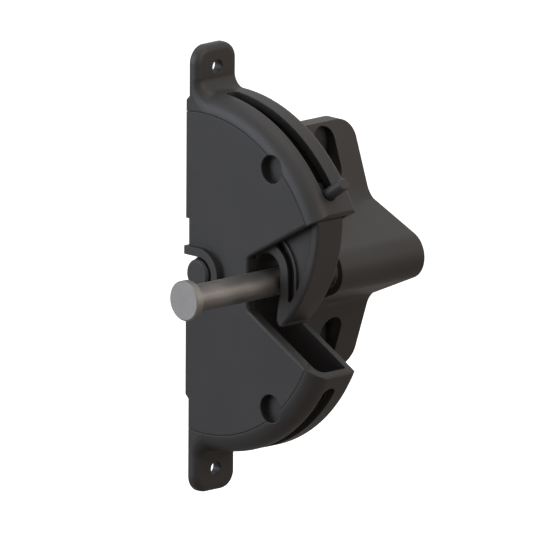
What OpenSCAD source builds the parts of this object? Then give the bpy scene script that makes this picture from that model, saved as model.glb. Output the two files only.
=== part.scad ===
// Two-sided gravity gate latch for a post and a gate.
// X points away from the post's face, Y runs from the post to the gate along the striker pin,
// and Z is up. X = 0 is the back of the screw tabs, and the origin is midway between their holes.

/* [Housing] */
// Width of the housing along Y
housing_w = 25.4; // [23:0.1:30]
// Radius of the round rim about the pawl's pivot
rim_r = 83; // [80:0.5:88]
// Distance of the pivot from the back of the tabs
pivot_x = 9.5; // [9.2:0.1:12]
// Thickness of the near side wall
near_wall = 4.6; // [4.2:0.1:5]
// Thickness of the far side wall
far_wall = 3.9; // [3.5:0.1:4.5]
// Thickness of the rim wall
rim_wall = 3.6; // [3:0.1:4.2]
// Rounding of the rim's near edge
near_round = 8.4; // [6:0.1:9]
// Rounding of the rim's far edge
far_round = 2.5; // [1.5:0.1:4]
// Rounding of the hollow's far corner
hollow_round = 1; // [0.5:0.1:2]
// How far the back lands stand behind the tabs
land_depth = 2; // [1:0.1:2.5]
// Lower end of the upper land, and upper end of the lower land
land_inner_z = 24; // [20:1:28]
// Upper end of the upper land
land_upper_z = 81; // [70:1:82]
// Lower end of the lower land
land_lower_z = 60; // [50:1:66]
// Thickness of the webs that tie the side walls together at the back
web_t = 3; // [2:0.1:3.2]
// Height at which the back webs start
web_z = 63; // [60:0.5:68]

/* [Screw tabs] */
// Height of the tab ends above and below the middle
tab_reach = 104; // [102:0.5:110]
// Thickness of the tabs
tab_t = 5; // [4:0.1:6]
// Corner radius of the tabs
tab_corner = 8; // [6:0.5:10]
// Rounding of the tabs' front edges
tab_edge = 3; // [1.5:0.1:3.5]
// Radius of the hollow blend between tab and rim
tab_blend = 6; // [4:0.5:8]
// Distance of the screw holes from the tabs' ends
hole_margin = 10.5; // [9:0.1:12]
// Diameter of the screw holes
hole_d = 6.2; // [5:0.1:7]

/* [Side cover] */
// Radius of the flat side cover, up to its seam
cover_r = 74.6; // [73.5:0.1:75.5]
// Gap along the seam of the cover
seam_gap = 0.2; // [0.05:0.05:0.3]
// Width of the ledge that carries the cover's edge
ledge_w = 1.6; // [1:0.1:2.5]
// Thickness of the ledge
ledge_t = 2; // [1.5:0.1:2.5]
// Distance of the round recesses from the pivot along X
recess_x = 44; // [42:0.5:46]
// Height of the round recesses above and below the pivot
recess_z = 55.7; // [54:0.1:57]
// Diameter of the round recesses
recess_d = 13.2; // [10:0.1:14]
// Depth of the round recesses
recess_depth = 4; // [2:0.1:4.1]

/* [Notch and rim slots] */
// Place of the corner point where the two notch edges would meet
notch_apex_x = 16.5; // [15:0.5:18]
// Angle of each notch edge above and below the level line
notch_angle = 29; // [27:0.5:31]
// Blunt inner end of the notch
notch_end_x = 38.1; // [36:0.1:38.5]
// Rounding of the notch's inner corners
notch_corner = 3; // [2:0.5:5]
// Rounded lead-in along the notch edges on the side faces
notch_lead = 1.3; // [0.5:0.1:1.8]
// Rounding of the rim's ends where the notch cuts it
lip_round = 2; // [1:0.1:3]
// Width of the curved rim slots
slot_w = 7.4; // [7:0.1:9]
// Angle of the slots' lower end above the level line
slot_start = 31.8; // [31:0.1:31.9]
// Angle of the slots' upper end above the level line
slot_end = 88; // [87:0.5:89]

/* [Pivot] */
// Diameter of the pivot axle
axle_d = 14; // [12:0.1:14.2]
// How far the axle ends stand out of the side faces
axle_proud = 4.5; // [3.5:0.1:6]
// Bevel on the axle ends
axle_bevel = 1; // [0.3:0.1:1.4]
// Outer diameter of the axle bushes
bush_d = 15.9; // [15:0.1:16.4]
// Running clearance between axle and bush, on the radius
running_gap = 0.05; // [0.02:0.01:0.09]
// Play between a bush and its seat, on the radius
bush_seat_gap = 0.05; // [0.02:0.01:0.1]
// Wall of the guard rib round the axle end
guard_wall = 4; // [3:0.1:5]
// Height of the guard rib above the side face
guard_proud = 3.1; // [2:0.1:4]
// Thickness of the thrust washers
washer_t = 1; // [0.8:0.1:1.5]
// Side play of the pawl in the housing, on each side
side_play = 0.3; // [0.2:0.05:0.5]
// Diameter of the cross pin that locks the pawl to the axle
cross_pin_d = 3; // [2:0.1:3.5]

/* [Pawl] */
// Play between the pawl's head and the rim wall
rim_play = 2; // [1:0.1:3]
// Radius of the curved striking face
cam_r = 67.8; // [66:0.1:69]
// How far the striking face bulges out from the pivot
face_reach = 69.7; // [69:0.1:70.5]
// Centre of the striking face, above the pivot
cam_z = 33.5; // [32:0.1:35]
// Rounding of the striking face's two edges
cam_round = 1.5; // [0.5:0.1:2.5]
// Width of the throat that holds the striker pin
throat_w = 15.6; // [14:0.1:16]
// Middle of the throat, along X from the pivot
throat_x = 36.3; // [35.5:0.1:36.5]
// Height of the throat's round top, above the pivot
throat_top = 14.4; // [13.5:0.1:15.5]
// Rounding of the throat's edges on the side faces
throat_lead = 1.5; // [0.5:0.1:2]
// Height of the arm's lower lip beside the throat, above the pivot
arm_lip_z = -4; // [-5:0.1:-3]
// Height at which the hook starts to lean in below the pin
hook_lean_z = -2.5; // [-4:0.1:-1]
// Radius of the hook's nose
nose_r = 2.3; // [2:0.1:3.5]
// How far the nose's centre stands inside the striking face
nose_inset = 1.95; // [1.8:0.01:3.2]
// Nose centre, below the pivot
nose_drop = 16.2; // [15:0.1:17]
// Radius of the pawl's hub
hub_r = 9.2; // [8.8:0.1:9.4]
// Angle of the upper end of the pawl's head
head_top = 40; // [39:0.5:42]
// Width of the outer band beside the side pockets
band_w = 4.5; // [3:0.1:5]
// Width of the rim round the throat
hook_rim_w = 5.9; // [4:0.1:7]
// Width of the groove along the throat's rim
groove_w = 4.1; // [2:0.1:5]
// Depth of the groove
groove_depth = 3; // [2:0.1:5]
// Width of the thin rib beside the groove
rib_w = 1.4; // [0.8:0.1:2]
// Depth of the side pockets
pocket_depth = 1.1; // [0.8:0.1:2]
// Angle between the pockets' upper end and the upper end of the head
pocket_margin = 3; // [2:0.5:6]

/* [Release knob] */
// Angle of the knob above the level line at rest
knob_angle = 34; // [34:0.1:34.4]
// Diameter of the knob
knob_d = 5.9; // [5:0.1:6.4]
// Length of the knob above the pawl's head
knob_l = 17.4; // [14:0.1:20]
// Bevel on the knob's tip
knob_bevel = 0.6; // [0.3:0.1:1]
// Diameter of the knob's threaded stud
stud_d = 4; // [3:0.1:4.4]
// Length of the stud inside the pawl
stud_l = 9; // [6:0.1:9.5]
// Outer diameter of the threaded insert in the pawl
insert_d = 6.6; // [6:0.1:7.5]
// Length of the threaded insert
insert_l = 10; // [9.5:0.1:12]
// How deep the insert sits below the pawl's surface
insert_sink = 0.2; // [0.1:0.1:0.5]
// Gap between the knob's shoulder and the pawl
knob_seat_gap = 0.1; // [0.05:0.05:0.2]

/* [Striker bracket] */
// Height of the striker's middle above the pivot
striker_z = 0.5; // [0:0.1:1]
// Near edge of the mounting flanges along Y
flange_y0 = 42.2; // [40:0.1:44]
// Far edge of the bracket along Y
flange_y1 = 81.2; // [80:0.1:90]
// Near end of the hump that carries the pin
hump_y0 = 29.5; // [26:0.1:32]
// Half height of the bracket
bracket_half_h = 57.8; // [57.6:0.1:60]
// Thickness of the flanges at their ends
flange_tip_t = 8.6; // [8:0.1:10]
// Slope of the flanges' front face, in degrees from upright
flange_slope = 19.2; // [17:0.1:20]
// Slope of the hump's sides, in degrees from level
hump_slope = 23.6; // [22:0.1:25]
// Rounding between flange and hump
crease_r = 12; // [6:0.5:14]
// Radius of the round hump about the pin
hump_r = 11.3; // [10.8:0.1:12]
// Corner radius of the flanges
flange_corner = 9; // [7:0.5:11]
// Width of the washer slots in the flanges
washer_slot_w = 12.7; // [11:0.1:14]
// Inner end of the washer slots from the bracket's middle
washer_slot_z0 = 31.2; // [30:0.1:33]
// Outer end of the washer slots from the bracket's middle
washer_slot_z1 = 56.2; // [54:0.1:56.4]
// Wall of the hump's hollow
bracket_wall = 3.4; // [3:0.1:4]
// Extra thickness of that wall at the crease
crease_wall = 1; // [0.5:0.1:2]
// How far the hollow reaches past the back of the round hump
sleeve_wall = 2; // [1:0.1:2.5]

/* [Back plate] */
// Thickness of the plate in the bracket's back
plate_t = 6; // [5:0.1:7]
// Rim of the bracket round the plate at its sides
plate_rim = 2.2; // [1.6:0.1:3]
// Rim of the bracket above and below the plate
plate_end_rim = 1.4; // [1.2:0.1:1.5]
// Fitting gap round the plate
plate_gap = 0.1; // [0.05:0.05:0.2]
// Width of the screw slots in the plate
screw_slot_w = 6.4; // [5:0.1:7]
// Length of the screw slots, end to end
screw_slot_l = 12; // [10:0.5:14]
// Distance of the screw slots' centres from the bracket's middle
screw_slot_z = 38.5; // [38:0.5:40]
// Diameter of the plate screws' heads
plate_screw_head_d = 6; // [5:0.1:7]
// Diameter of the plate screws' shanks
plate_screw_d = 3; // [2.5:0.1:3.5]
// Length of the plate screws in the bracket
plate_screw_l = 7.5; // [6:0.1:8]
// Height of the plate screws' heads, sunk in half of the plate
plate_screw_head_t = 2.5; // [2:0.1:2.9]
// Width and depth of the sockets in the plate screws
plate_socket_d = 3; // [2:0.1:3.5]
plate_socket_t = 1.8; // [1:0.1:2]
// Free depth beyond the plate screws' tips
plate_screw_gap = 0.5; // [0.3:0.1:1]
// Distance of the plate screws from the pocket's sides
plate_screw_inset = 5; // [4.5:0.1:6]
// Height of the plate screws from the bracket's middle
plate_screw_z = 26; // [25:0.5:27]

/* [Striker pin] */
// Distance of the pin's axis from the back of the tabs
pin_x = 45.35; // [45.2:0.05:45.8]
// Diameter of the pin
pin_d = 12.7; // [12:0.1:13]
// Diameter of the pin's flat head
pin_head_d = 18.6; // [16:0.1:20]
// Thickness of the pin's head
pin_head_t = 3.7; // [3:0.1:5]
// Bevel round the head's front face
pin_head_bevel = 0.6; // [0.3:0.1:1]
// Y of the head's front face
pin_head_y = -59.9; // [-66:0.1:-56]
// Y of the pin's far end
pin_end_y = 79; // [76:0.1:80]
// Bevel on the pin's far end
pin_end_bevel = 1; // [0.5:0.1:2]
// Outer diameter of the sleeve in the hump
sleeve_d = 16.4; // [16:0.1:17]
// Gap between pin and sleeve, on the radius
pin_gap = 0.06; // [0.02:0.01:0.1]
// Diameter of the set screws that clamp the pin
set_screw_d = 6; // [5:0.1:6.5]
// Length of the set screws
set_screw_l = 10; // [8:0.5:12]
// Distance of the set screws from the bracket's middle
set_screw_spread = 12; // [10:0.5:14]
// Wall of the bosses round the set screws
set_screw_wall = 3; // [2:0.1:3.5]
// Extra width of the access holes to the set screws
access_gap = 0.5; // [0.3:0.1:1]
// Width and depth of the sockets in the set screws
set_socket_d = 3.4; // [2.5:0.1:3.6]
set_socket_t = 3; // [2:0.1:4]

/* [Hidden] */
$fn = 72;
half_w = housing_w / 2;
cavity_y0 = near_wall - half_w;
cavity_y1 = half_w - far_wall;
inner_r = rim_r - rim_wall;
// The pawl runs midway between the side walls
pawl_y = (cavity_y0 + cavity_y1) / 2;
pawl_half_w = (cavity_y1 - cavity_y0) / 2 - side_play;
pawl_r = inner_r - rim_play;
hub_half_w = pawl_half_w - washer_t;
// Centre of the striking face, along X from the pivot
cam_x = face_reach - cam_r;
// The nose's centre, along X from the pivot
nose_x = cam_x + sqrt(pow(cam_r - nose_inset, 2) - pow(cam_z + nose_drop, 2));
throat_r = throat_w / 2;
throat_z = throat_top - throat_r;
skin_t = near_wall - ledge_t;
pad_r = recess_d / 2 + ledge_w;
// Centre of the hollow blend between tab and rim
blend_x = tab_t + tab_blend;
blend_z = sqrt(pow(rim_r + tab_blend, 2) - pow(blend_x - pivot_x, 2));
blend_end = 180 + atan2(blend_z, blend_x - pivot_x);
guard_inner_r = bush_d / 2 + bush_seat_gap;
guard_outer_r = guard_inner_r + guard_wall;
hole_z = tab_reach - hole_margin;
// The rim slots' round ends are a little wider than the slots, and centred at these angles
slot_end_r = slot_w / 2 + 0.1;
slot_end_turn = asin(slot_end_r / rim_r);
slot_low_end = slot_start + slot_end_turn;
slot_high_end = slot_end - slot_end_turn;
far_reach = 130;
cut = 1;
bracket_mid_y = (flange_y0 + flange_y1) / 2;
flange_w = flange_y1 - flange_y0;
pin_r = pin_d / 2;
set_screw_ys = [bracket_mid_y - set_screw_spread, bracket_mid_y + set_screw_spread];
plate_screw_edge = plate_rim + plate_screw_inset;
plate_screw_ys = [flange_y0 + plate_screw_edge, flange_y1 - plate_screw_edge];
// Where the flange's front line meets the hump's side line, measured from the bracket's middle
hump_touch = [pin_x + hump_r * sin(hump_slope), hump_r * cos(hump_slope)];
flange_run = tan(flange_slope);
hump_run = 1 / tan(hump_slope);
crease_z = (hump_touch[0] + hump_touch[1] * hump_run - flange_tip_t - bracket_half_h * flange_run)
    / (hump_run - flange_run);
crease_x = flange_tip_t + (bracket_half_h - crease_z) * flange_run;

// Helpers

// A flat shape in X and Z, carried along Y from y0 to y1
module along_y(y0, y1) {
    translate([0, y1, 0]) rotate([90, 0, 0]) linear_extrude(y1 - y0) children();
}

// A flat shape in Y and Z, carried along X from x0 to x1
module along_x(x0, x1) {
    translate([x0, 0, 0]) rotate([90, 0, 90]) linear_extrude(x1 - x0) children();
}

// A round bar along Y
module bar_y(d, x, z, y0, y1) {
    translate([x, y1, z]) rotate([90, 0, 0]) cylinder(d = d, h = y1 - y0);
}

// A round bar along X
module bar_x(d, y, z, x0, x1) {
    translate([x0, y, z]) rotate([0, 90, 0]) cylinder(d = d, h = x1 - x0);
}

// A round bar that points from the pivot at an angle, between two radii
module bar_radial(d, angle, r0, r1) {
    translate([pivot_x, 0, 0]) rotate([0, 90 - angle, 0]) translate([0, 0, r0])
        cylinder(d = d, h = r1 - r0);
}

// A profile of radius and width turned about the pivot, with the near side at positive width
module turned_at_pivot() {
    translate([pivot_x, 0, 0]) rotate([90, 0, 0]) rotate_extrude() children();
}

// Profile of a disc of radius r from y0 to y1, with its near and far edges rounded
module disc_profile(r, y0, y1, near, far) {
    w = y1 - y0;
    translate([0, -y1]) square([r - near, w]);
    translate([0, -y1]) square([r - far, w - near]);
    translate([0, far - y1]) square([r, w - near - far]);
    translate([r - near, -y0 - near]) circle(near);
    translate([r - far, far - y1]) circle(far);
}

// A slot along Z in the Y and Z plane, with round ends
module upright_slot(w, y, z0, z1) {
    translate([y, z0 + w / 2]) circle(d = w);
    translate([y, z1 - w / 2]) circle(d = w);
    translate([y - w / 2, z0 + w / 2]) square([w, z1 - z0 - w]);
}

// Rectangle from y0 to y1 and z0 to z1 with round corners
module round_rect(y0, y1, z0, z1, r) {
    translate([y0 + r, z0]) square([y1 - y0 - 2 * r, z1 - z0]);
    translate([y0, z0 + r]) square([y1 - y0, z1 - z0 - 2 * r]);
    for (y = [y0 + r, y1 - r], z = [z0 + r, z1 - r])
        translate([y, z]) circle(r);
}

// Housing

// The V-shaped notch in X and Z, with its blunt inner end grown outwards by e
module notch_outline(e = 0) {
    apex = notch_apex_x - e / sin(notch_angle);
    end_x = notch_end_x - e;
    r = notch_corner + e;
    corner_z = ((end_x + r - apex) * sin(notch_angle) - r) / cos(notch_angle);
    touch = [end_x + r - r * sin(notch_angle), corner_z + r * cos(notch_angle)];
    mouth_z = (far_reach - apex) * tan(notch_angle);
    polygon([[end_x, -corner_z], [end_x, corner_z], touch, [far_reach, mouth_z],
        [far_reach, -mouth_z], [touch[0], -touch[1]]]);
    for (side = [-1, 1]) translate([end_x + r, side * corner_z]) circle(r);
}

// What is cut off to round the rim's ends at the notch
module lip_corners() {
    // The round reaches a little past the rim, so that it crosses the rim's surface
    reach = rim_r - lip_round + 0.06;
    turn = notch_angle + asin((lip_round - (notch_apex_x - pivot_x) * sin(notch_angle)) / reach);
    centre = [pivot_x + reach * cos(turn), reach * sin(turn)];
    across = [-sin(notch_angle), cos(notch_angle)];
    outward = [cos(turn), sin(turn)];
    for (side = [0, 1]) mirror([0, side]) difference() {
        polygon([centre, centre - lip_round * across,
            centre - lip_round * across + 2 * lip_round * outward,
            centre + 3 * lip_round * outward]);
        translate(centre) circle(lip_round);
    }
}

// The notch with its edges rounded off where they meet one side face
module notch_cut(side) {
    steps = 3;
    along_y(-half_w - cut, half_w + cut) notch_outline();
    for (i = [0 : steps - 1]) {
        a = 90 * i / steps;
        b = 90 * (i + 1) / steps;
        hull() {
            notch_slice(side, notch_lead * (1 - cos(a)), notch_lead * (1 - sin(a)));
            notch_slice(side, notch_lead * (1 - cos(b)), notch_lead * (1 - sin(b)));
        }
    }
    notch_slice(side, notch_lead, 0, cut);
}

// A thin slice of the notch, grown by e, at a depth below one side face
module notch_slice(side, e, depth, t = 0.01) {
    y = side > 0 ? half_w - depth : depth - half_w - t;
    along_y(y, y + t) notch_outline(e);
}

// The U-shaped slot that lets an axle bush in from the back
module bush_seat(r) {
    translate([pivot_x, 0]) circle(r);
    translate([-land_depth - cut, -r]) square([pivot_x + land_depth + cut, 2 * r]);
}

// The guard rib round one axle end, open to the back
module guard_outline() {
    difference() {
        union() {
            translate([pivot_x, 0]) circle(guard_outer_r);
            translate([0, -guard_outer_r]) square([pivot_x, 2 * guard_outer_r]);
        }
        translate([-far_reach, -far_reach]) square([far_reach, 2 * far_reach]);
        bush_seat(guard_inner_r);
    }
}

// The two raised lands behind the side walls
module land_outline() {
    ramp = land_depth;
    polygon([[0, land_inner_z], [-land_depth, land_inner_z], [-land_depth, land_upper_z - ramp],
        [0, land_upper_z], [cut, land_upper_z], [cut, land_inner_z]]);
    polygon([[0, -land_inner_z], [-land_depth, -land_inner_z], [-land_depth, -land_lower_z + ramp],
        [0, -land_lower_z], [cut, -land_lower_z], [cut, -land_inner_z]]);
}

// One screw tab above the hollow blend, with rounded front edges and round outer corners
module tab() {
    corner_z = tab_reach - tab_corner;
    corner_y = half_w - tab_corner;
    translate([0, 0, blend_z]) linear_extrude(corner_z - blend_z) {
        tab_front_edge(half_w);
        mirror([0, 1]) tab_front_edge(half_w);
    }
    along_y(-corner_y, corner_y) translate([0, corner_z]) tab_front_edge(tab_corner);
    for (side = [0, 1]) mirror([0, side, 0])
        translate([0, corner_y, corner_z]) rotate([0, 90, 0]) rotate([0, 0, 90])
            rotate_extrude(angle = 90) mirror([1, -1]) tab_front_edge(tab_corner);
}

// Half of a tab's section: its thickness along X, and a rounded front edge at reach
module tab_front_edge(reach) {
    square([tab_t - tab_edge, reach]);
    square([tab_t, reach - tab_edge]);
    translate([tab_t - tab_edge, reach - tab_edge]) circle(tab_edge);
}

// The blend turns from the tab's front to the rim in even steps: angle and edge rounding of each
blend_steps = 14;
function blend_angle(i) = 180 + (blend_end - 180) * i / blend_steps;
function blend_near(i) = tab_edge + (near_round - tab_edge) * i / blend_steps;
function blend_far(i) = tab_edge + (far_round - tab_edge) * i / blend_steps;

// Section of the blend as distances from the blend's centre and places along Y
function blend_section(surface, near, far, depth, steps = 6) = concat(
    [[depth, -half_w]],
    [for (k = [0 : steps]) let (a = 90 * k / steps)
        [surface + near * (1 - sin(a)), near * (1 - cos(a)) - half_w]],
    [for (k = [0 : steps]) let (a = 90 * k / steps)
        [surface + far * (1 - cos(a)), half_w - far * (1 - sin(a))]],
    [[depth, half_w]]);

// A section's points, turned by an angle about the blend's centre and lifted
function blend_ring(i, lift = 0) =
    let (a = blend_angle(i),
        // Sunk a little into tab and rim, so that the surfaces cross
        surface = tab_blend + 0.05,
        depth = min(blend_x / abs(cos(a)), tab_blend + near_round + 1))
    [for (p = blend_section(surface, blend_near(i), blend_far(i), depth))
        [blend_x + p[0] * cos(a), p[1], blend_z + p[0] * sin(a) + lift]];

// The tab's root: a hollow blend whose edges round off more and more towards the rim
module tab_root() {
    rings = concat([blend_ring(0, cut)], [for (i = [0 : blend_steps]) blend_ring(i)]);
    n = len(rings[0]);
    last = (len(rings) - 1) * n;
    polyhedron([for (ring = rings) each ring], concat(
        [for (k = [1 : n - 2]) [0, k + 1, k]],
        [for (i = [0 : len(rings) - 2], k = [0 : n - 1])
            [i * n + k, i * n + (k + 1) % n, (i + 1) * n + (k + 1) % n]],
        [for (i = [0 : len(rings) - 2], k = [0 : n - 1])
            [i * n + k, (i + 1) * n + (k + 1) % n, (i + 1) * n + k]],
        [for (k = [1 : n - 2]) [last, last + k, last + k + 1]]));
    // The flat side faces run up into the tab, inside the blend's rounded edge
    margin = 0.5;
    along_y(-half_w, half_w) polygon(concat(
        [[0, blend_z + cut], [tab_t - tab_edge - margin, blend_z + cut]],
        [for (i = [0 : blend_steps])
            let (reach = tab_blend + blend_near(i) + margin, a = blend_angle(i))
            [blend_x + reach * cos(a), blend_z + reach * sin(a)]],
        [[0, rim_r - near_round - 4 * margin]]));
}

// A curved slot through the rim above the pivot, with round ends
module rim_slot() {
    far = 2 * rim_r;
    past = 5;
    intersection() {
        turned_at_pivot() translate([inner_r - past, -slot_w / 2])
            square([rim_wall + 2 * past, slot_w]);
        union() {
            along_y(-slot_w, slot_w) translate([pivot_x, 0])
                polygon([[0, 0], far * [cos(slot_low_end), sin(slot_low_end)],
                    far * [cos(slot_high_end), sin(slot_high_end)]]);
            for (a = [slot_low_end, slot_high_end])
                bar_radial(2 * slot_end_r, a, inner_r - past - cut, rim_r + past + cut);
        }
    }
}

// The housing's outer form, before anything is cut from it
module housing_body() {
    intersection() {
        turned_at_pivot() disc_profile(rim_r, -half_w, half_w, near_round, far_round);
        translate([0, -housing_w, -far_reach]) cube([far_reach, 2 * housing_w, 2 * far_reach]);
    }
    along_y(-half_w, half_w) land_outline();
    for (side = [0, 1]) mirror([0, 0, side]) {
        tab();
        tab_root();
    }
    along_y(half_w, half_w + guard_proud) guard_outline();
}

// The round recesses in the near side
module side_recesses() {
    for (side = [-1, 1])
        bar_y(recess_d, pivot_x + recess_x, side * recess_z, -half_w - cut, -half_w + recess_depth);
}

// Round pads of the shell that carry the recesses' floors under the side cover
module recess_pads(r) {
    for (side = [-1, 1]) translate([pivot_x + recess_x, side * recess_z]) circle(r);
}

// The hollow between the side walls, open to the back between the webs
module hollow() {
    difference() {
        turned_at_pivot()
            disc_profile(inner_r, cavity_y0, cavity_y1, near_round - rim_wall, hollow_round);
        for (side = [-1, 1])
            translate([0, -half_w, side > 0 ? web_z : -inner_r])
                cube([web_t, housing_w, inner_r - web_z]);
    }
}

module housing_shell() {
    color([0.17, 0.16, 0.155])
    difference() {
        housing_body();
        hollow();
        // The opening for the side cover, with the ledge and pads that carry it
        along_y(-half_w - cut, skin_t - half_w) cover_disc(cover_r);
        along_y(-half_w - cut, cavity_y0 + cut) difference() {
            cover_disc(cover_r - ledge_w);
            recess_pads(pad_r);
        }
        along_y(cavity_y1 - cut, half_w + guard_proud + cut) bush_seat(guard_inner_r);
        notch_cut(1);
        along_y(-half_w - cut, half_w + cut) lip_corners();
        rim_slot();
        mirror([0, 0, 1]) rim_slot();
        for (z = [-hole_z, hole_z]) bar_x(hole_d, 0, z, -cut, tab_t + cut);
        side_recesses();
    }
}

// Disc about the pivot, reaching past the lands at the back
module cover_disc(r) {
    intersection() {
        translate([pivot_x, 0]) circle(r);
        translate([-land_depth - cut, -far_reach]) square([far_reach * 2, 2 * far_reach]);
    }
}

module side_cover() {
    color([0.20, 0.21, 0.225])
    difference() {
        union() {
            along_y(-half_w, skin_t - half_w) cover_outline(cover_r - seam_gap);
            along_y(skin_t - half_w, cavity_y0) difference() {
                cover_outline(cover_r - ledge_w - seam_gap);
                recess_pads(pad_r + seam_gap);
            }
            along_y(-half_w - guard_proud, -half_w) guard_outline();
        }
        along_y(-half_w - guard_proud - cut, half_w) bush_seat(guard_inner_r);
        notch_cut(-1);
        side_recesses();
    }
}

// The cover's outline with its share of the lands
module cover_outline(r) {
    intersection() {
        translate([pivot_x, 0]) circle(r);
        union() {
            translate([0, -far_reach]) square([far_reach * 2, 2 * far_reach]);
            land_outline();
        }
    }
}

module axle_bush(y0, y1) {
    color([0.10, 0.10, 0.10])
    difference() {
        bar_y(bush_d, pivot_x, 0, y0, y1);
        bar_y(axle_d + 2 * running_gap, pivot_x, 0, y0 - cut, y1 + cut);
    }
}

module near_axle_bush() axle_bush(-half_w, cavity_y0);
module far_axle_bush() axle_bush(cavity_y1, half_w);

// Pawl

// Where the pawl's outlines are drawn: about the pivot, midway between the side walls
module at_pawl() {
    translate([pivot_x, pawl_y, 0]) children();
}

// The head and arm about the pivot, still open to the outside, up to an angle
module pawl_sweep(top) {
    far = 2 * pawl_r;
    // The head's upper end starts this far out, where the arm's upper edge meets it
    head_in = 0.78 * pawl_r;
    // The arm's two edges leave the hub at these angles
    upper = 125;
    lower = -78;
    polygon([hub_r * [cos(upper), sin(upper)], head_in * [cos(top), sin(top)],
        far * [cos(top), sin(top)], [far, -nose_drop], [throat_x, -nose_drop],
        [throat_x - throat_r, arm_lip_z], hub_r * [cos(lower), sin(lower)]]);
}

// The throat round the striker pin, open below, grown outwards by e
module throat_outline(e = 0) {
    left = throat_x - throat_r - e;
    right = throat_x + throat_r + e;
    nose_left = nose_x - nose_r - e;
    below = nose_drop + 2 * nose_r;
    lean = (right - nose_left) / (nose_drop + hook_lean_z);
    translate([throat_x, throat_z]) circle(throat_r + e);
    polygon([[left, throat_z], [left, -below],
        [nose_left - lean * (below - nose_drop), -below],
        [right, hook_lean_z], [right, throat_z]]);
}

// A thin slice of the throat, grown by e, at a depth below one of the pawl's side faces
module throat_slice(side, e, depth, t = 0.01) {
    y = side > 0 ? pawl_half_w - depth : depth - pawl_half_w - t;
    along_y(y, y + t) throat_outline(e, $fn = 32);
}

// The throat with its edges rounded off where they meet the pawl's side faces
module throat_cut() {
    steps = 3;
    along_y(-pawl_half_w - cut, pawl_half_w + cut) throat_outline();
    for (side = [-1, 1], i = [0 : steps - 1]) {
        a = 90 * i / steps;
        b = 90 * (i + 1) / steps;
        hull() {
            throat_slice(side, throat_lead * (1 - cos(a)), throat_lead * (1 - sin(a)));
            throat_slice(side, throat_lead * (1 - cos(b)), throat_lead * (1 - sin(b)));
        }
    }
}

// A disc as wide as the pawl, with rounded edges, turned about a centre beside the pivot
module pawl_disc(x, z, r) {
    // The nose is too small for the striking face's full rounding
    edge = min(cam_round, 0.49 * r);
    translate([x, 0, z]) rotate([90, 0, 0]) rotate_extrude()
        disc_profile(r, -pawl_half_w, pawl_half_w, edge, edge);
}

module pawl_body() {
    intersection() {
        along_y(-pawl_half_w, pawl_half_w) pawl_sweep(head_top);
        pawl_disc(0, 0, pawl_r);
        pawl_disc(cam_x, cam_z, cam_r);
    }
    pawl_disc(nose_x, -nose_drop, nose_r);
    bar_y(2 * hub_r, 0, 0, -pawl_half_w, pawl_half_w);
}

// What lies at least w outside the throat, seen from the side
module beside_throat(w) {
    difference() {
        translate([0, -far_reach]) square([far_reach, 2 * far_reach]);
        translate([throat_x, throat_z]) circle(throat_r + w);
        translate([0, -far_reach]) square([throat_x + throat_r + w, far_reach + throat_z]);
    }
}

// The side pocket between the outer band, the arm's upper edge and the throat's rim
module pocket_outline(rim_w) {
    intersection() {
        circle(pawl_r - band_w);
        translate([cam_x, cam_z]) circle(cam_r - band_w);
        polygon([[band_w, hub_r + band_w], [2 * band_w, 0],
            [far_reach, -nose_drop],
            far_reach * [cos(head_top - pocket_margin), sin(head_top - pocket_margin)],
            0.8 * pawl_r * [cos(head_top - pocket_margin), sin(head_top - pocket_margin)]]);
        beside_throat(rim_w);
    }
}

// The deep groove that runs along the throat's rim
module groove_outline() {
    difference() {
        pocket_outline(hook_rim_w);
        beside_throat(hook_rim_w + groove_w);
    }
}

module pawl() {
    color([0.155, 0.15, 0.145])
    difference() {
        at_pawl() difference() {
            pawl_body();
            throat_cut();
            for (side = [0, 1]) mirror([0, side, 0]) {
                along_y(pawl_half_w - pocket_depth, pawl_half_w + cut)
                    pocket_outline(hook_rim_w + groove_w + rib_w);
                along_y(pawl_half_w - groove_depth, pawl_half_w + cut) groove_outline();
                // The hub is cut back for a thrust washer
                bar_y(2 * hub_r + 2, 0, 0, hub_half_w, pawl_half_w + cut);
            }
            bar_y(axle_d, 0, 0, -half_w, half_w);
            cylinder(d = cross_pin_d, h = 3 * hub_r, center = true);
        }
        bar_radial(insert_d, knob_angle, pawl_r - insert_l, pawl_r + cut);
    }
}

module pivot_axle() {
    tip = half_w + axle_proud;
    color([0.19, 0.20, 0.215])
    difference() {
        translate([pivot_x, 0, 0]) rotate([90, 0, 0]) rotate_extrude()
            polygon([[0, -tip], [axle_d / 2 - axle_bevel, -tip], [axle_d / 2, -tip + axle_bevel],
                [axle_d / 2, tip - axle_bevel], [axle_d / 2 - axle_bevel, tip], [0, tip]]);
        at_pawl() cylinder(d = cross_pin_d, h = 3 * hub_r, center = true);
    }
}

module axle_cross_pin() {
    color([0.5, 0.5, 0.5])
    at_pawl() cylinder(d = cross_pin_d, h = 2 * hub_r - 1.2, center = true);
}

module thrust_washer(y0) {
    color([0.75, 0.74, 0.70])
    at_pawl() difference() {
        bar_y(2 * hub_r, 0, 0, y0, y0 + washer_t);
        bar_y(axle_d + 2 * running_gap, 0, 0, y0 - cut, y0 + washer_t + cut);
    }
}

module near_thrust_washer() thrust_washer(-pawl_half_w);
module far_thrust_washer() thrust_washer(hub_half_w);

module knob_insert() {
    color([0.70, 0.58, 0.30])
    difference() {
        bar_radial(insert_d, knob_angle, pawl_r - insert_l, pawl_r - insert_sink);
        bar_radial(stud_d, knob_angle, pawl_r - insert_l - cut, pawl_r);
    }
}

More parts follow.
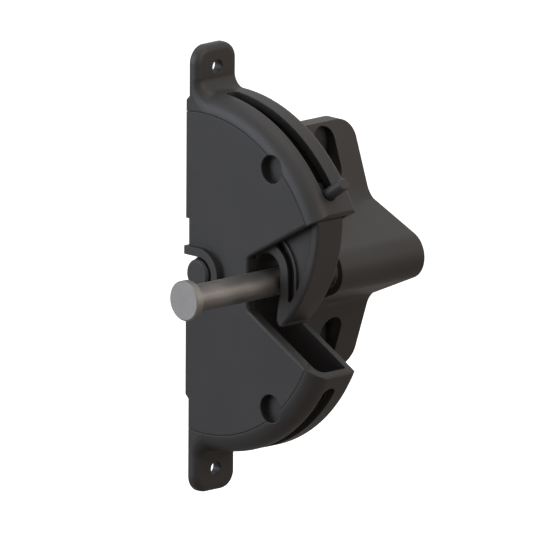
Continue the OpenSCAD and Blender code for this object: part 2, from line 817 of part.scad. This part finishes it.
module release_knob() {
    knob_r = knob_d / 2;
    seat_r = pawl_r + knob_seat_gap;
    tip = pawl_r + knob_l;
    color([0.17, 0.165, 0.16])
    translate([pivot_x, 0, 0]) rotate([0, 90 - knob_angle, 0]) rotate_extrude()
        polygon([[0, pawl_r - stud_l], [stud_d / 2, pawl_r - stud_l],
            [stud_d / 2, seat_r], [knob_r, seat_r], [knob_r, tip - knob_bevel],
            [knob_r - knob_bevel, tip], [0, tip]]);
}

// Striker

// The bracket's front outline in X and Z about its middle, with its back at X = 0
module bracket_outline() {
    difference() {
        union() {
            polygon([[0, -bracket_half_h], [flange_tip_t, -bracket_half_h],
                [crease_x, -crease_z], [hump_touch[0], -hump_touch[1]],
                [hump_touch[0], hump_touch[1]], [crease_x, crease_z],
                [flange_tip_t, bracket_half_h], [0, bracket_half_h]]);
            translate([pin_x, 0]) circle(hump_r);
            for (side = [0, 1]) mirror([0, side]) crease_fill();
        }
    }
}

// The hollow rounding where a flange meets the hump
module crease_fill() {
    // Half of the angle between the two front faces
    half_angle = (90 - flange_slope - hump_slope + 90) / 2;
    reach = crease_r / tan(half_angle);
    flange_touch = [crease_x - reach * sin(flange_slope), crease_z + reach * cos(flange_slope)];
    hump_side = [crease_x + reach * cos(hump_slope), crease_z - reach * sin(hump_slope)];
    centre = flange_touch + crease_r * [cos(flange_slope), sin(flange_slope)];
    difference() {
        polygon([flange_touch, centre, hump_side, [crease_x - 2, crease_z - 1]]);
        translate(centre) circle(crease_r);
    }
}

// The hump alone, which runs past the flanges towards the post
module hump_outline() {
    intersection() {
        bracket_outline();
        translate([0, -crease_z]) square([far_reach, 2 * crease_z]);
    }
}

// The hollow inside the hump, behind the sleeve's boss
module hump_hollow() {
    slope = tan(hump_slope);
    // The side walls follow the hump's sides down to the crease
    back = crease_z - bracket_wall / cos(hump_slope) - crease_wall;
    front_x = pin_x - hump_r + sleeve_wall;
    front_z = back - (front_x - crease_x) * slope;
    difference() {
        polygon([[plate_t - cut, -back], [crease_x, -back], [front_x, -front_z],
            [front_x, front_z], [crease_x, back], [plate_t - cut, back]]);
        translate([pin_x, 0]) circle(hump_r);
    }
}

module striker_bracket() {
    pocket_y0 = flange_y0 + plate_rim;
    pocket_y1 = flange_y1 - plate_rim;
    pocket_h = bracket_half_h - plate_end_rim;
    color([0.165, 0.155, 0.15])
    translate([0, 0, striker_z])
    difference() {
        union() {
            intersection() {
                along_y(flange_y0, flange_y1) bracket_outline();
                along_x(-cut, far_reach)
                    round_rect(flange_y0, flange_y1, -bracket_half_h, bracket_half_h, flange_corner);
            }
            along_y(hump_y0, flange_y1) hump_outline();
        }
        // The pocket for the back plate
        along_x(-cut, plate_t)
            round_rect(pocket_y0, pocket_y1, -pocket_h, pocket_h, flange_corner - plate_rim);
        difference() {
            along_y(pocket_y0, pocket_y1) hump_hollow();
            for (y = set_screw_ys)
                bar_x(set_screw_d + 2 * set_screw_wall, y, 0, plate_t, pin_x);
        }
        bar_y(sleeve_d, pin_x, 0, hump_y0 - cut, flange_y1 + cut);
        for (y = set_screw_ys) bar_x(set_screw_d, y, 0, plate_t - cut, pin_x);
        for (side = [0, 1]) mirror([0, 0, side]) {
            along_x(-cut, far_reach)
                upright_slot(washer_slot_w, bracket_mid_y, washer_slot_z0, washer_slot_z1);
            for (y = plate_screw_ys)
                bar_x(plate_screw_d, y, plate_screw_z, plate_t - cut,
                    plate_t + plate_screw_l + plate_screw_gap);
        }
    }
}

module bracket_back_plate() {
    y0 = flange_y0 + plate_rim + plate_gap;
    y1 = flange_y1 - plate_rim - plate_gap;
    h = bracket_half_h - plate_end_rim - plate_gap;
    slot_z0 = screw_slot_z - screw_slot_l / 2;
    color([0.20, 0.195, 0.19])
    translate([0, 0, striker_z])
    difference() {
        along_x(0, plate_t) round_rect(y0, y1, -h, h, flange_corner - plate_rim - plate_gap);
        for (y = set_screw_ys)
            bar_x(set_screw_d + 2 * access_gap, y, 0, -cut, plate_t + cut);
        for (side = [0, 1]) mirror([0, 0, side]) {
            along_x(-cut, plate_t + cut)
                upright_slot(screw_slot_w, bracket_mid_y, slot_z0, slot_z0 + screw_slot_l);
            for (y = plate_screw_ys) {
                bar_x(plate_screw_d, y, plate_screw_z, -cut, plate_t + cut);
                bar_x(plate_screw_head_d, y, plate_screw_z, -cut, plate_t / 2);
            }
        }
    }
}

module plate_screws() {
    head_x = plate_t / 2 - plate_screw_head_t;
    color([0.6, 0.6, 0.6])
    translate([0, 0, striker_z])
    for (side = [0, 1], y = plate_screw_ys) mirror([0, 0, side])
        difference() {
            union() {
                bar_x(plate_screw_head_d, y, plate_screw_z, head_x, plate_t / 2);
                bar_x(plate_screw_d, y, plate_screw_z, plate_t / 2, plate_t + plate_screw_l);
            }
            translate([head_x - cut, y, plate_screw_z]) rotate([0, 90, 0])
                cylinder(d = plate_socket_d, h = plate_socket_t + cut, $fn = 6);
        }
}

module pin_sleeve() {
    color([0.62, 0.60, 0.56])
    translate([0, 0, striker_z])
    difference() {
        bar_y(sleeve_d, pin_x, 0, hump_y0, flange_y1);
        bar_y(pin_d + 2 * pin_gap, pin_x, 0, hump_y0 - cut, flange_y1 + cut);
        for (y = set_screw_ys) bar_x(set_screw_d, y, 0, plate_t, pin_x);
    }
}

module pin_set_screws() {
    tip_x = pin_x - pin_r - pin_gap;
    color([0.45, 0.45, 0.45])
    translate([0, 0, striker_z])
    for (y = set_screw_ys) difference() {
        bar_x(set_screw_d, y, 0, tip_x - set_screw_l, tip_x);
        translate([tip_x - set_screw_l - cut, y, 0]) rotate([0, 90, 0])
            cylinder(d = set_socket_d, h = set_socket_t + cut, $fn = 6);
    }
}

module striker_pin() {
    head_r = pin_head_d / 2;
    color([0.62, 0.60, 0.57])
    translate([pin_x, 0, striker_z]) rotate([-90, 0, 0]) rotate_extrude()
        polygon([[0, pin_head_y], [head_r - pin_head_bevel, pin_head_y],
            [head_r, pin_head_y + pin_head_bevel], [head_r, pin_head_y + pin_head_t],
            [pin_r, pin_head_y + pin_head_t], [pin_r, pin_end_y - pin_end_bevel],
            [pin_r - pin_end_bevel, pin_end_y], [0, pin_end_y]]);
}

housing_shell();
side_cover();
near_axle_bush();
far_axle_bush();
pawl();
pivot_axle();
axle_cross_pin();
near_thrust_washer();
far_thrust_washer();
knob_insert();
release_knob();
striker_bracket();
bracket_back_plate();
plate_screws();
pin_sleeve();
pin_set_screws();
striker_pin();
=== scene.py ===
"""Looks, lamps and camera for a two-sided gravity gate latch.

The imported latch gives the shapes. This script dresses its nodes, sets up the stage and
places the camera. Lengths are in metres: X away from the post, Y along the pin, Z up.
"""

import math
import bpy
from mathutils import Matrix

bl_info = {
    "name": "Gate latch looks",
    "version": (1, 0, 0),
    "blender": (4, 5, 0),
    "location": "3D View > Sidebar > Gate latch",
    "description": "Finishes, lamps and camera for a two-sided gravity gate latch",
    "category": "Object",
}

import bpy
import numpy as np
from bpy.props import FloatProperty, FloatVectorProperty, PointerProperty
from bpy.types import Operator, Panel, PropertyGroup
from mathutils import Matrix, Vector

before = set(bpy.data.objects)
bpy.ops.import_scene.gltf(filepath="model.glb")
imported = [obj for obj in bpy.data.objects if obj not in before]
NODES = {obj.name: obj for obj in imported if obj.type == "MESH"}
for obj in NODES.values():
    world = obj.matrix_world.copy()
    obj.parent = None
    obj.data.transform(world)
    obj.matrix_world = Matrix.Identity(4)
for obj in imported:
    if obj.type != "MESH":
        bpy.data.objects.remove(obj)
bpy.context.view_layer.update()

# Moulded polymer: cloud width in metres, factors on its colour, steps from its roughness
CLOUD_WIDTH = 0.030
CLOUD_TONE = 0.55
GRAIN_TONE = 0.25
GRAIN_NOISE_ROUGHNESS = 0.6
DARK_SKIN = 0.88
LIGHT_SKIN = 1.18
# Recesses get painted shade: the darker copy of the colour is full below this openness
CLOSED_RECESS = 0.30  # openness at which a recess is fully shaded
SMOOTH_GRAIN = -0.04
ROUGH_GRAIN = 0.06
EDGE_POLISH = 0.10
POLYMER_SPECULAR = 0.25

# Edges: cosine between the face and its rounded normal, and rays for each point
SHARP_LEAN = 0.85
FLAT_LEAN = 0.99
EDGE_SAMPLES = 6
OPENNESS_SAMPLES = 8

# Turned metal: rings round the axis, and rubbed patches
X_AXIS, Y_AXIS, Z_AXIS = 0, 1, 2
RING_STRETCH = 0.04  # how slowly a ring changes on its way round
RING_DEPTH = 0.000006
RING_STRENGTH = 0.8
RING_NOISE_ROUGHNESS = 0.7
RING_SPREAD = 0.05
PATCH_WIDTH = 0.012
PATCH_SMOOTHER = -0.03
PATCH_ROUGHER = 0.05
DARK_PATCH = 0.90
LIGHT_PATCH = 1.08

# Camera and lamps: places in metres
CAMERA_DISTANCE = 0.8
CAMERA_REACH = 10.0
LAMP_WIDTH = 1.3
LAMP_TARGET = (0.03, 0.0, 0.0)
KEY_PLACE = (-0.8, -1.35, 0.4)
FILL_PLACE = (1.35, 0.15, 0.65)
TOP_PLACE = (0.1, 0.1, 1.5)

# Surroundings: upward parts of a direction where the light is all ground or all sky colour
WHITE = (1.0, 1.0, 1.0)
ALL_GROUND = -0.7
ALL_SKY = 0.8

# Floor: pale to the camera, partly pale in reflections, and darker as a light on the object
FLOOR_HALF_WIDTH = 3.0
FLOOR_LINES = 9
SPECKLE_WIDTH = 0.004
PALE_PAINT = (0.78, 0.78, 0.78)
PALER_PAINT = (0.80, 0.80, 0.80)
BOUNCE_PAINT = (0.16, 0.12, 0.09)
GLOSSY_SHARE = 0.35
FLOOR_ROUGHNESS = 0.9
FLOOR_GLOW = 0.75


def size(name, description, default, low, high):
    """A length property in metres."""
    return FloatProperty(name=name, description=description, default=default, min=low, max=high,
                         unit="LENGTH", subtype="DISTANCE", precision=5)


def turn(name, description, degrees):
    """An angle property, given in degrees and kept in radians."""
    return FloatProperty(name=name, description=description, default=math.radians(degrees),
                         subtype="ANGLE", unit="ROTATION")


def share(name, description, default, high=1.0):
    """A plain number from 0 to high."""
    return FloatProperty(name=name, description=description, default=default, min=0.0, max=high)


def colour(name, description, default):
    """A linear red, green and blue colour."""
    return FloatVectorProperty(name=name, description=description, default=default, size=3,
                               min=0.0, max=1.0, subtype="COLOR")


class PolymerSettings(PropertyGroup):
    """Moulded polymer of the housing, pawl, bracket, bushes and washers"""

    black: colour("Black", "Colour of the glass-filled polymer", (0.033, 0.032, 0.032))
    bush: colour("Bush", "Colour of the darker bush polymer", (0.018, 0.018, 0.019))
    washer: colour("Washer", "Colour of the white thrust washers", (0.66, 0.65, 0.60))
    roughness: share("Roughness", "Mean roughness of the moulded skin", 0.46)
    # The next two set the painted shade in recesses: how far nearby walls reach, and the brightness
    # left where it is deepest
    painted_shade_reach: size("Crevice", "How far neighbouring walls darken a recess", 0.010, 0.0, 0.05)
    shade: share("Shade", "Brightness left at the bottom of a deep recess", 0.6)
    grain: size("Grain", "Distance across one grain of the moulded texture", 0.00045, 0.0001, 0.003)
    relief: size("Relief", "Height of the moulded texture", 0.000012, 0.0, 0.0002)
    edge: size("Edge radius", "Radius that softens the moulded edges", 0.0007, 0.0, 0.002)


class MetalSettings(PropertyGroup):
    """Metal pieces"""

    stainless: colour("Stainless", "Colour of the striker pin", (0.225, 0.218, 0.211))
    sleeve: colour("Sleeve", "Colour of the steel sleeve", (0.42, 0.41, 0.40))
    plated: colour("Plated", "Colour of the plated screws and cross pin", (0.55, 0.55, 0.57))
    blackened: colour("Blackened", "Colour of the set screws", (0.05, 0.05, 0.055))
    brass: colour("Brass", "Colour of the threaded insert", (0.62, 0.45, 0.18))
    roughness: share("Roughness", "Mean roughness of turned metal", 0.33)
    pin_roughness: share("Pin roughness", "Mean roughness of the striker pin", 0.5)
    screw_roughness: share("Screw roughness", "Mean roughness of the plate screws", 0.3)
    black_roughness: share("Black roughness", "Mean roughness of the blackened set screws", 0.45)
    scratch: size("Scratch", "Width of the fine turning lines", 0.00025, 0.00005, 0.002)


class StageSettings(PropertyGroup):
    """Camera, lamps and floor"""

    azimuth: turn("Azimuth", "Camera direction about the upright axis, from +X towards -Y", 44.0)
    elevation: turn("Elevation", "Camera height angle above level", 13.0)
    roll: turn("Roll", "Turn of the picture about the line of sight", 0.235)
    view_width: size("View width", "Width that the picture shows", 0.2422, 0.1, 1.0)
    view_right: size("View right", "Picture centre, to the right of the origin", 0.02628, -0.2, 0.2)
    view_up: size("View up", "Picture centre, above the origin", -0.00065, -0.2, 0.2)
    floor_drop: size("Floor drop", "Depth of the floor below the origin", 0.20, 0.11, 1.0)
    key_power: share("Key power", "Power of the large lamp at the upper left", 21.0, 100.0)
    fill_power: share("Fill power", "Power of the lamp at the right", 11.0, 100.0)
    top_power: share("Top power", "Power of the lamp above", 6.0, 100.0)
    ambient: share("Ambient", "Brightness of the plain surroundings", 0.40, 5.0)
    sky: colour("Sky", "Colour of the surroundings' light from above", (1.0, 1.0, 1.0))
    ground: colour("Ground", "Colour of the surroundings' light from below", (0.62, 0.47, 0.36))
    key_tint: colour("Key tint", "Cool tint of the key lamp", (0.80, 0.88, 1.0))
    fill_tint: colour("Fill tint", "Warm tint of the fill lamp", (1.0, 0.90, 0.82))
    top_tint: colour("Top tint", "Tint of the lamp above", (1.0, 0.98, 0.96))


class LatchSettings(PropertyGroup):
    """All settings of the latch"""

    polymer: PointerProperty(type=PolymerSettings)
    metal: PointerProperty(type=MetalSettings)
    stage: PointerProperty(type=StageSettings)


class NodeTree:
    """Short names for the few calls that build the nodes of a material or world."""

    def __init__(self, owner):
        owner.use_nodes = True
        self.owner = owner
        self.tree = owner.node_tree
        self.shader = self.tree.nodes.get("Principled BSDF")

    def add(self, kind, **values):
        """A new node, with its attributes set from the values."""
        node = self.tree.nodes.new(kind)
        for key, value in values.items():
            setattr(node, key, value)
        return node

    def link(self, output, target):
        self.tree.links.new(output, target)

    def place(self, stretch=(1.0, 1.0, 1.0)):
        """Object coordinates, stretched along each axis."""
        where = self.add("ShaderNodeTexCoord")
        mapping = self.add("ShaderNodeMapping")
        mapping.inputs["Scale"].default_value = stretch
        self.link(where.outputs["Object"], mapping.inputs["Vector"])
        return mapping.outputs["Vector"]

    def noise(self, place, width, detail=3.0, roughness=0.5):
        """Noise whose patches are about width metres across."""
        noise = self.add("ShaderNodeTexNoise")
        noise.inputs["Scale"].default_value = 1.0 / width
        noise.inputs["Detail"].default_value = detail
        noise.inputs["Roughness"].default_value = roughness
        self.link(place, noise.inputs["Vector"])
        return noise.outputs["Fac"]

    def ramp(self, value, low, high, start=0.3, end=0.7):
        """Value between start and end, by default a noise's middle, mapped from low to high."""
        node = self.add("ShaderNodeMapRange")
        node.inputs["From Min"].default_value = start
        node.inputs["From Max"].default_value = end
        node.inputs["To Min"].default_value = low
        node.inputs["To Max"].default_value = high
        self.link(value, node.inputs["Value"])
        return node.outputs["Result"]

    def mix(self, factor, first, second):
        """Colour between first and second, each a fixed colour or an output."""
        node = self.add("ShaderNodeMix", data_type="RGBA")
        self.link(factor, node.inputs["Factor"])
        ends = [socket for socket in node.inputs if socket.type == "RGBA"]
        for socket, value in zip(ends, (first, second)):
            if isinstance(value, tuple):
                socket.default_value = (*value, 1.0)
            else:
                self.link(value, socket)
        return [socket for socket in node.outputs if socket.type == "RGBA"][0]

    def maths(self, operation, first, second):
        """The two values put through one operation; second may be a number."""
        node = self.add("ShaderNodeMath", operation=operation)
        self.link(first, node.inputs[0])
        if isinstance(second, (int, float)):
            node.inputs[1].default_value = second
        else:
            self.link(second, node.inputs[1])
        return node.outputs["Value"]

    def bump(self, height, depth, strength=1.0, normal=None):
        """Normals tilted by a height pattern that is depth metres deep."""
        node = self.add("ShaderNodeBump")
        node.inputs["Strength"].default_value = strength
        node.inputs["Distance"].default_value = depth
        self.link(height, node.inputs["Height"])
        if normal is not None:
            self.link(normal, node.inputs["Normal"])
        return node.outputs["Normal"]

    def edge_mask(self, width):
        """A mask near 1 along sharp edges and 0 on open faces, and the rounded normal itself."""
        rounded = self.add("ShaderNodeBevel", samples=EDGE_SAMPLES)
        rounded.inputs["Radius"].default_value = width
        plain = self.add("ShaderNodeNewGeometry")
        lean = self.add("ShaderNodeVectorMath", operation="DOT_PRODUCT")
        self.link(rounded.outputs["Normal"], lean.inputs[0])
        self.link(plain.outputs["Normal"], lean.inputs[1])
        sharp = self.ramp(lean.outputs["Value"], 1.0, 0.0, SHARP_LEAN, FLAT_LEAN)
        return sharp, rounded.outputs["Normal"]

    def openness(self, reach):
        """1 on open faces, falling towards 0 where walls closer than reach stand round."""
        node = self.add("ShaderNodeAmbientOcclusion", samples=OPENNESS_SAMPLES)
        node.inputs["Distance"].default_value = reach
        return node.outputs["AO"]


def scaled(base, factor):
    """A colour made lighter or darker."""
    return tuple(min(1.0, c * factor) for c in base)


def moulded_polymer(name, base, settings, grain=1.0, gloss=0.0):
    """Moulded polymer: fine eroded grain, faint flow clouds, polished edges, and shade painted
    darker into recesses.
    """
    t = NodeTree(bpy.data.materials.new(name))
    place = t.place()
    clouds = t.noise(place, CLOUD_WIDTH, detail=2.0)
    grains = t.noise(place, settings.grain * grain, 2.0, GRAIN_NOISE_ROUGHNESS)
    edge, rounded = t.edge_mask(settings.edge)
    tone = t.maths("ADD", t.ramp(clouds, 0.0, CLOUD_TONE), t.ramp(grains, 0.0, GRAIN_TONE))
    skin = t.mix(tone, scaled(base, DARK_SKIN), scaled(base, LIGHT_SKIN))
    # Painted shade: where nearby walls close in, the colour moves towards a darker copy of itself
    free_of_painted_shade = t.ramp(t.openness(settings.painted_shade_reach), 0.0, 1.0, CLOSED_RECESS, 1.0)
    t.link(t.mix(free_of_painted_shade, scaled(base, settings.shade), skin), t.shader.inputs["Base Color"])
    rough = settings.roughness - gloss
    rough_skin = t.ramp(grains, rough + SMOOTH_GRAIN, rough + ROUGH_GRAIN)
    polish = t.maths("MULTIPLY", edge, EDGE_POLISH)
    t.link(t.maths("SUBTRACT", rough_skin, polish), t.shader.inputs["Roughness"])
    t.link(t.bump(grains, settings.relief, normal=rounded), t.shader.inputs["Normal"])
    t.shader.inputs["Specular IOR Level"].default_value = POLYMER_SPECULAR
    return t.owner


def turned_metal(name, base, settings, axis, roughness=None):
    """Turned or ground metal: fine rings round the axis and a few rubbed patches."""
    t = NodeTree(bpy.data.materials.new(name))
    stretch = [RING_STRETCH] * 3
    stretch[axis] = 1.0
    rings = t.noise(t.place(stretch), settings.scratch, 3.0, RING_NOISE_ROUGHNESS)
    patches = t.noise(t.place(), PATCH_WIDTH)
    rough = settings.roughness if roughness is None else roughness
    tone = t.ramp(patches, 0.0, 1.0)
    t.link(t.mix(tone, scaled(base, DARK_PATCH), scaled(base, LIGHT_PATCH)),
           t.shader.inputs["Base Color"])
    rough_skin = t.maths("ADD", t.ramp(rings, rough - RING_SPREAD, rough + RING_SPREAD),
                         t.ramp(patches, PATCH_SMOOTHER, PATCH_ROUGHER))
    t.link(rough_skin, t.shader.inputs["Roughness"])
    t.link(t.bump(rings, RING_DEPTH, RING_STRENGTH), t.shader.inputs["Normal"])
    t.shader.inputs["Metallic"].default_value = 1.0
    return t.owner


def dress(node, material):
    """Puts one material on every slot of a CAD node."""
    target = NODES[node]
    target.data.materials.clear()
    target.data.materials.append(material)


def latch(context):
    """The latch's settings, kept on the scene."""
    return context.scene.gate_latch


class LATCH_OT_housing(Operator):
    """Dress the housing shell, its side cover and the axle bushes"""

    bl_idname = "latch.housing"
    bl_label = "Housing"

    def execute(self, context):
        polymer = latch(context).polymer
        dress("housing_shell", moulded_polymer("housing_skin", polymer.black, polymer))
        dress("side_cover", moulded_polymer("cover_skin", polymer.black, polymer))
        bush = moulded_polymer("bush_skin", polymer.bush, polymer, grain=0.6)
        dress("near_axle_bush", bush)
        dress("far_axle_bush", bush)
        return {"FINISHED"}


class LATCH_OT_pawl(Operator):
    """Dress the pawl, its axle and its release knob"""

    bl_idname = "latch.pawl"
    bl_label = "Pawl"

    def execute(self, context):
        settings = latch(context)
        polymer = settings.polymer
        metal = settings.metal
        dress("pawl", moulded_polymer("pawl_skin", polymer.black, polymer))
        dress("release_knob",
              moulded_polymer("knob_skin", polymer.black, polymer, grain=0.8, gloss=0.06))
        dress("pivot_axle", moulded_polymer("axle_skin", polymer.black, polymer, grain=0.8))
        washer = moulded_polymer("washer_skin", polymer.washer, polymer)
        dress("near_thrust_washer", washer)
        dress("far_thrust_washer", washer)
        dress("axle_cross_pin", turned_metal("cross_pin_steel", metal.plated, metal, Z_AXIS))
        dress("knob_insert", turned_metal("insert_brass", metal.brass, metal, Y_AXIS))
        return {"FINISHED"}


class LATCH_OT_striker(Operator):
    """Dress the striker bracket and what is screwed into it"""

    bl_idname = "latch.striker"
    bl_label = "Striker bracket"

    def execute(self, context):
        settings = latch(context)
        polymer = settings.polymer
        metal = settings.metal
        dress("striker_bracket", moulded_polymer("bracket_skin", polymer.black, polymer))
        dress("bracket_back_plate",
              moulded_polymer("plate_skin", polymer.black, polymer, grain=1.5))
        dress("plate_screws",
              turned_metal("plate_screw_steel", metal.plated, metal, X_AXIS, metal.screw_roughness))
        dress("pin_set_screws",
              turned_metal("set_screw_steel", metal.blackened, metal, X_AXIS,
                           metal.black_roughness))
        dress("pin_sleeve", turned_metal("sleeve_steel", metal.sleeve, metal, Y_AXIS))
        return {"FINISHED"}


class LATCH_OT_pin(Operator):
    """Dress the striker pin as ground stainless bar"""

    bl_idname = "latch.pin"
    bl_label = "Striker pin"

    def execute(self, context):
        metal = latch(context).metal
        dress("striker_pin",
              turned_metal("pin_stainless", metal.stainless, metal, Y_AXIS, metal.pin_roughness))
        return {"FINISHED"}


def level_grid(width, height):
    """A square floor: x and y run from -width to width on a grid, and z is one height."""
    steps = np.linspace(-width, width, FLOOR_LINES)
    x, y = np.meshgrid(steps, steps, indexing="ij")
    points = np.stack([x, y, np.full_like(x, height)], axis=-1).reshape(-1, 3)
    corner = np.arange(steps.size * steps.size).reshape(steps.size, steps.size)
    quads = np.stack([corner[:-1, :-1], corner[1:, :-1], corner[1:, 1:], corner[:-1, 1:]],
                     axis=-1)
    mesh = bpy.data.meshes.new("floor")
    mesh.from_pydata(points.tolist(), [], quads.reshape(-1, 4).tolist())
    mesh.update()
    return mesh


def camera_axes(stage):
    """Right, up and backward directions of the camera, as three unit vectors."""
    azimuth, elevation, roll = stage.azimuth, stage.elevation, stage.roll
    back = Vector((math.cos(azimuth) * math.cos(elevation),
                   -math.sin(azimuth) * math.cos(elevation),
                   math.sin(elevation)))
    right = Vector((math.sin(azimuth), math.cos(azimuth), 0.0))
    up = back.cross(right)
    turned_right = right * math.cos(roll) + up * math.sin(roll)
    turned_up = up * math.cos(roll) - right * math.sin(roll)
    return turned_right, turned_up, back


def aim(target, place):
    """A rotation that points a lamp's -Z axis from a place towards a target."""
    return (Vector(target) - Vector(place)).to_track_quat("-Z", "Y").to_matrix().to_4x4()


class LATCH_OT_stage(Operator):
    """Add the camera, lamps, surroundings and floor"""

    bl_idname = "latch.stage"
    bl_label = "Stage"

    def execute(self, context):
        stage = latch(context).stage
        self.add_camera(context.scene, stage)
        self.add_lamps(context.scene, stage)
        self.add_surroundings(context.scene, stage)
        self.add_floor(context.scene, stage)
        context.scene.view_settings.view_transform = "Standard"
        return {"FINISHED"}

    def add_camera(self, scene, stage):
        right, up, back = camera_axes(stage)
        camera = bpy.data.cameras.new("camera")
        camera.type = "ORTHO"
        camera.ortho_scale = stage.view_width
        camera.clip_end = CAMERA_REACH
        mount = bpy.data.objects.new("camera", camera)
        turn_matrix = Matrix((right, up, back)).transposed().to_4x4()
        place = right * stage.view_right + up * stage.view_up + back * CAMERA_DISTANCE
        mount.matrix_world = Matrix.Translation(place) @ turn_matrix
        scene.collection.objects.link(mount)
        scene.camera = mount

    def add_lamps(self, scene, stage):
        lamps = (
            ("key", stage.key_power, stage.key_tint, KEY_PLACE),
            ("fill", stage.fill_power, stage.fill_tint, FILL_PLACE),
            ("top", stage.top_power, stage.top_tint, TOP_PLACE),
        )
        for name, power, tint, place in lamps:
            light = bpy.data.lights.new(name, "AREA")
            light.shape = "DISK"
            light.size = LAMP_WIDTH
            light.energy = power
            light.color = tint
            lamp = bpy.data.objects.new(name, light)
            lamp.matrix_world = Matrix.Translation(place) @ aim(LAMP_TARGET, place)
            scene.collection.objects.link(lamp)

    def add_surroundings(self, scene, stage):
        """White to the camera, full strength in reflections, and a soft light by direction."""
        world = bpy.data.worlds.new("surroundings")
        t = NodeTree(world)
        background = t.tree.nodes["Background"]
        path = t.add("ShaderNodeLightPath")
        seen = t.maths("MAXIMUM", path.outputs["Is Camera Ray"], path.outputs["Is Transmission Ray"])
        bright = t.maths("MAXIMUM", seen, path.outputs["Is Glossy Ray"])
        way = t.add("ShaderNodeTexCoord")
        split = t.add("ShaderNodeSeparateXYZ")
        t.link(way.outputs["Generated"], split.inputs["Vector"])
        height = t.ramp(split.outputs["Z"], 0.0, 1.0, ALL_GROUND, ALL_SKY)
        light = t.mix(height, tuple(stage.ground), tuple(stage.sky))
        t.link(t.mix(seen, light, WHITE), background.inputs["Color"])
        t.link(t.ramp(bright, stage.ambient, 1.0, 0.0, 1.0), background.inputs["Strength"])
        scene.world = world

    def add_floor(self, scene, stage):
        """Pale paint that glows to the camera, and a darker paint that lights the object."""
        mesh = level_grid(FLOOR_HALF_WIDTH, -stage.floor_drop)
        floor = bpy.data.objects.new("floor", mesh)
        t = NodeTree(bpy.data.materials.new("floor_paint"))
        path = t.add("ShaderNodeLightPath")
        speckle = t.noise(t.place(), SPECKLE_WIDTH, detail=2.0)
        paint = t.mix(t.ramp(speckle, 0.0, 1.0), PALE_PAINT, PALER_PAINT)
        dimmed = t.maths("MULTIPLY", path.outputs["Is Glossy Ray"], GLOSSY_SHARE)
        seen = t.maths("MAXIMUM", path.outputs["Is Camera Ray"], dimmed)
        t.link(t.mix(seen, BOUNCE_PAINT, paint), t.shader.inputs["Base Color"])
        t.shader.inputs["Roughness"].default_value = FLOOR_ROUGHNESS
        t.shader.inputs["Emission Color"].default_value = (*WHITE, 1.0)
        t.link(t.maths("MULTIPLY", path.outputs["Is Camera Ray"], FLOOR_GLOW),
               t.shader.inputs["Emission Strength"])
        floor.data.materials.append(t.owner)
        scene.collection.objects.link(floor)


class LATCH_PT_panel(Panel):
    """Sidebar panel that lists the latch's pieces and settings"""

    bl_idname = "LATCH_PT_panel"
    bl_label = "Gate latch"
    bl_space_type = "VIEW_3D"
    bl_region_type = "UI"
    bl_category = "Gate latch"

    def draw(self, context):
        layout = self.layout
        for operator in PIECES:
            layout.operator(operator.bl_idname)
        settings = latch(context)
        for group in (settings.polymer, settings.metal, settings.stage):
            box = layout.box()
            for name in group.bl_rna.properties.keys():
                if name not in ("rna_type", "name"):
                    box.prop(group, name)


PIECES = (LATCH_OT_housing, LATCH_OT_pawl, LATCH_OT_striker, LATCH_OT_pin, LATCH_OT_stage)
CLASSES = (PolymerSettings, MetalSettings, StageSettings, LatchSettings, *PIECES, LATCH_PT_panel)


def register():
    for cls in CLASSES:
        bpy.utils.register_class(cls)
    bpy.types.Scene.gate_latch = PointerProperty(type=LatchSettings)


def unregister():
    del bpy.types.Scene.gate_latch
    for cls in reversed(CLASSES):
        bpy.utils.unregister_class(cls)


def main():
    register()
    bpy.ops.latch.housing()
    bpy.ops.latch.pawl()
    bpy.ops.latch.striker()
    bpy.ops.latch.pin()
    bpy.ops.latch.stage()


if __name__ == "__main__":
    main()
